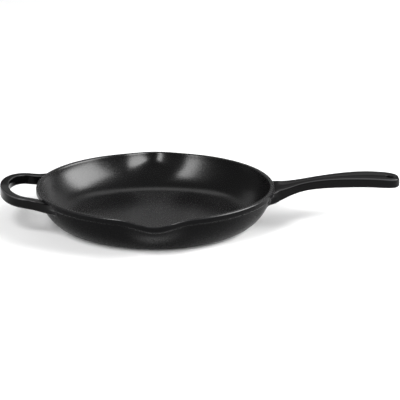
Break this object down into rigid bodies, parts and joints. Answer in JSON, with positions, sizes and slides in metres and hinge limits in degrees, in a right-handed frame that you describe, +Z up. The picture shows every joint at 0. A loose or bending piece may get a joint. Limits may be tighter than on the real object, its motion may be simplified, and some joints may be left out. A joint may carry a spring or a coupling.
{
  "type": "cast iron skillet",
  "caption": "Round shallow enamelled cast iron skillet with pouring spouts, a long handle with a hanging eye and a loop helper handle opposite it.",
  "frame": {"origin": "centre of the resting face, on the pan's axis, in the plane of the foot ring", "axes": "+X along the long handle, away from the pan; +Z up, out of the open pan; the pouring spouts lie on the Y axis"},
  "size_m": [0.4531, 0.298, 0.0545],
  "materials": {
    "cast_iron": "bare grey iron, as cast, wholly under enamel",
    "satin_black_enamel": "satin black fired enamel, faintly textured",
    "gloss_black_enamel": "glossy black fired enamel",
    "base_black_enamel": "semi-gloss black fired enamel"
  },
  "bodies": {
    "root": {"casting_floor": "cast_iron", "casting_wall": "cast_iron", "casting_helper_side_rim": "cast_iron", "casting_handle_side_rim": "cast_iron", "casting_front_spout": "cast_iron", "casting_rear_spout": "cast_iron", "casting_long_handle": "cast_iron", "casting_helper_handle": "cast_iron", "cooking_floor_enamel": "satin_black_enamel", "cooking_wall_enamel": "satin_black_enamel", "front_spout_inside_enamel": "satin_black_enamel", "rear_spout_inside_enamel": "satin_black_enamel", "outside_wall_enamel": "gloss_black_enamel", "front_spout_outside_enamel": "gloss_black_enamel", "rear_spout_outside_enamel": "gloss_black_enamel", "long_handle_enamel": "gloss_black_enamel", "helper_handle_enamel": "gloss_black_enamel", "base_enamel": "base_black_enamel"}
  },
  "joints": []
}
